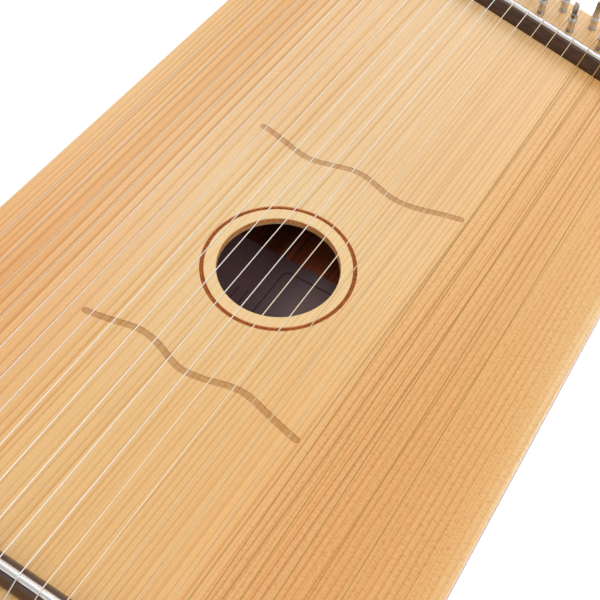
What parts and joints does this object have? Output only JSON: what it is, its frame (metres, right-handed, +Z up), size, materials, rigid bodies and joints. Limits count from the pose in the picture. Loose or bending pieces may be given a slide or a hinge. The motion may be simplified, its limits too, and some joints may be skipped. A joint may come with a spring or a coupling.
{
  "type": "chorded zither",
  "caption": "Tabletop zither: shallow trapezoid wooden box with a round sound hole, wave lines, evenly spaced strings over two bridges and turning tuning pins.",
  "frame": {"origin": "centre of the footprint's bounding rectangle, on the plane that the feet stand on", "axes": "+Y along the strings from the hitch pins to the tuning pins, +X across the strings to the treble side, +Z up from the table"},
  "size_m": [0.3, 0.5782, 0.0696],
  "materials": {
    "spruce_top": "semi-gloss lacquer over straight-grained spruce",
    "mahogany_body": "satin lacquer, dark red-brown",
    "hardwood_block": "stained hardwood, end grain at the ends",
    "spruce_inside": "raw spruce",
    "dark_hardwood": "oiled dark hardwood",
    "steel_rod": "polished steel",
    "nickel_pin": "nickel-plated steel",
    "string_steel": "drawn steel wire",
    "string_brass": "brass-coloured wire",
    "label_paper": "matt paper",
    "black_rubber": "matt rubber"
  },
  "bodies": {
    "zither_body": {"soundboard": "spruce_top", "back_plate": "mahogany_body", "bass_side_rail": "mahogany_body", "treble_side_rail": "mahogany_body", "tuning_pin_block": "hardwood_block", "hitch_pin_block": "hardwood_block", "soundboard_braces": "spruce_inside", "back_braces": "spruce_inside", "sound_hole_doubler": "spruce_inside", "hitch_end_bridge": "dark_hardwood", "tuning_end_bridge": "dark_hardwood", "hitch_end_bridge_rod": "steel_rod", "tuning_end_bridge_rod": "steel_rod", "hitch_pins": "nickel_pin", "paper_label": "label_paper", "rubber_feet": "black_rubber", "string_01": "string_steel", "string_02": "string_steel", "string_03": "string_steel", "string_04": "string_steel", "string_05": "string_steel", "string_06": "string_steel", "string_07": "string_steel", "string_08": "string_steel", "string_09": "string_steel", "string_10": "string_steel", "string_11": "string_steel", "string_12": "string_steel", "string_13": "string_brass", "string_14": "string_brass", "string_15": "string_brass", "string_16": "string_brass", "string_17": "string_brass", "string_18": "string_brass", "string_19": "string_brass", "string_20": "string_brass", "string_21": "string_brass", "string_22": "string_brass"},
    "pin_01": {"tuning_pin_01": "nickel_pin"},
    "pin_02": {"tuning_pin_02": "nickel_pin"},
    "pin_03": {"tuning_pin_03": "nickel_pin"},
    "pin_04": {"tuning_pin_04": "nickel_pin"},
    "pin_05": {"tuning_pin_05": "nickel_pin"},
    "pin_06": {"tuning_pin_06": "nickel_pin"},
    "pin_07": {"tuning_pin_07": "nickel_pin"},
    "pin_08": {"tuning_pin_08": "nickel_pin"},
    "pin_09": {"tuning_pin_09": "nickel_pin"},
    "pin_10": {"tuning_pin_10": "nickel_pin"},
    "pin_11": {"tuning_pin_11": "nickel_pin"},
    "pin_12": {"tuning_pin_12": "nickel_pin"},
    "pin_13": {"tuning_pin_13": "nickel_pin"},
    "pin_14": {"tuning_pin_14": "nickel_pin"},
    "pin_15": {"tuning_pin_15": "nickel_pin"},
    "pin_16": {"tuning_pin_16": "nickel_pin"},
    "pin_17": {"tuning_pin_17": "nickel_pin"},
    "pin_18": {"tuning_pin_18": "nickel_pin"},
    "pin_19": {"tuning_pin_19": "nickel_pin"},
    "pin_20": {"tuning_pin_20": "nickel_pin"},
    "pin_21": {"tuning_pin_21": "nickel_pin"},
    "pin_22": {"tuning_pin_22": "nickel_pin"}
  },
  "joints": [
    {"name": "pin_01_turn", "type": "hinge", "parent": "zither_body", "child": "pin_01", "pos_m": [-0.12394, 0.27154, 0.047], "axis": [0, 0, -1], "range_deg": [-300, 60]},
    {"name": "pin_02_turn", "type": "hinge", "parent": "zither_body", "child": "pin_02", "pos_m": [-0.11245, 0.25502, 0.047], "axis": [0, 0, -1], "range_deg": [-300, 60]},
    {"name": "pin_03_turn", "type": "hinge", "parent": "zither_body", "child": "pin_03", "pos_m": [-0.10094, 0.2654, 0.047], "axis": [0, 0, -1], "range_deg": [-300, 60]},
    {"name": "pin_04_turn", "type": "hinge", "parent": "zither_body", "child": "pin_04", "pos_m": [-0.08944, 0.24888, 0.047], "axis": [0, 0, -1], "range_deg": [-300, 60]},
    {"name": "pin_05_turn", "type": "hinge", "parent": "zither_body", "child": "pin_05", "pos_m": [-0.07795, 0.25927, 0.047], "axis": [0, 0, -1], "range_deg": [-300, 60]},
    {"name": "pin_06_turn", "type": "hinge", "parent": "zither_body", "child": "pin_06", "pos_m": [-0.06647, 0.24276, 0.047], "axis": [0, 0, -1], "range_deg": [-300, 60]},
    {"name": "pin_07_turn", "type": "hinge", "parent": "zither_body", "child": "pin_07", "pos_m": [-0.05497, 0.25314, 0.047], "axis": [0, 0, -1], "range_deg": [-300, 60]},
    {"name": "pin_08_turn", "type": "hinge", "parent": "zither_body", "child": "pin_08", "pos_m": [-0.04347, 0.23662, 0.047], "axis": [0, 0, -1], "range_deg": [-300, 60]},
    {"name": "pin_09_turn", "type": "hinge", "parent": "zither_body", "child": "pin_09", "pos_m": [-0.03197, 0.24701, 0.047], "axis": [0, 0, -1], "range_deg": [-300, 60]},
    {"name": "pin_10_turn", "type": "hinge", "parent": "zither_body", "child": "pin_10", "pos_m": [-0.02047, 0.23049, 0.047], "axis": [0, 0, -1], "range_deg": [-300, 60]},
    {"name": "pin_11_turn", "type": "hinge", "parent": "zither_body", "child": "pin_11", "pos_m": [-0.00899, 0.24088, 0.047], "axis": [0, 0, -1], "range_deg": [-300, 60]},
    {"name": "pin_12_turn", "type": "hinge", "parent": "zither_body", "child": "pin_12", "pos_m": [0.0025, 0.22436, 0.047], "axis": [0, 0, -1], "range_deg": [-300, 60]},
    {"name": "pin_13_turn", "type": "hinge", "parent": "zither_body", "child": "pin_13", "pos_m": [0.01401, 0.23475, 0.047], "axis": [0, 0, -1], "range_deg": [-300, 60]},
    {"name": "pin_14_turn", "type": "hinge", "parent": "zither_body", "child": "pin_14", "pos_m": [0.0255, 0.21823, 0.047], "axis": [0, 0, -1], "range_deg": [-300, 60]},
    {"name": "pin_15_turn", "type": "hinge", "parent": "zither_body", "child": "pin_15", "pos_m": [0.03701, 0.22862, 0.047], "axis": [0, 0, -1], "range_deg": [-300, 60]},
    {"name": "pin_16_turn", "type": "hinge", "parent": "zither_body", "child": "pin_16", "pos_m": [0.0485, 0.2121, 0.047], "axis": [0, 0, -1], "range_deg": [-300, 60]},
    {"name": "pin_17_turn", "type": "hinge", "parent": "zither_body", "child": "pin_17", "pos_m": [0.05998, 0.22249, 0.047], "axis": [0, 0, -1], "range_deg": [-300, 60]},
    {"name": "pin_18_turn", "type": "hinge", "parent": "zither_body", "child": "pin_18", "pos_m": [0.07148, 0.20597, 0.047], "axis": [0, 0, -1], "range_deg": [-300, 60]},
    {"name": "pin_19_turn", "type": "hinge", "parent": "zither_body", "child": "pin_19", "pos_m": [0.08298, 0.21636, 0.047], "axis": [0, 0, -1], "range_deg": [-300, 60]},
    {"name": "pin_20_turn", "type": "hinge", "parent": "zither_body", "child": "pin_20", "pos_m": [0.09448, 0.19984, 0.047], "axis": [0, 0, -1], "range_deg": [-300, 60]},
    {"name": "pin_21_turn", "type": "hinge", "parent": "zither_body", "child": "pin_21", "pos_m": [0.10598, 0.21022, 0.047], "axis": [0, 0, -1], "range_deg": [-300, 60]},
    {"name": "pin_22_turn", "type": "hinge", "parent": "zither_body", "child": "pin_22", "pos_m": [0.11748, 0.1937, 0.047], "axis": [0, 0, -1], "range_deg": [-300, 60]}
  ]
}
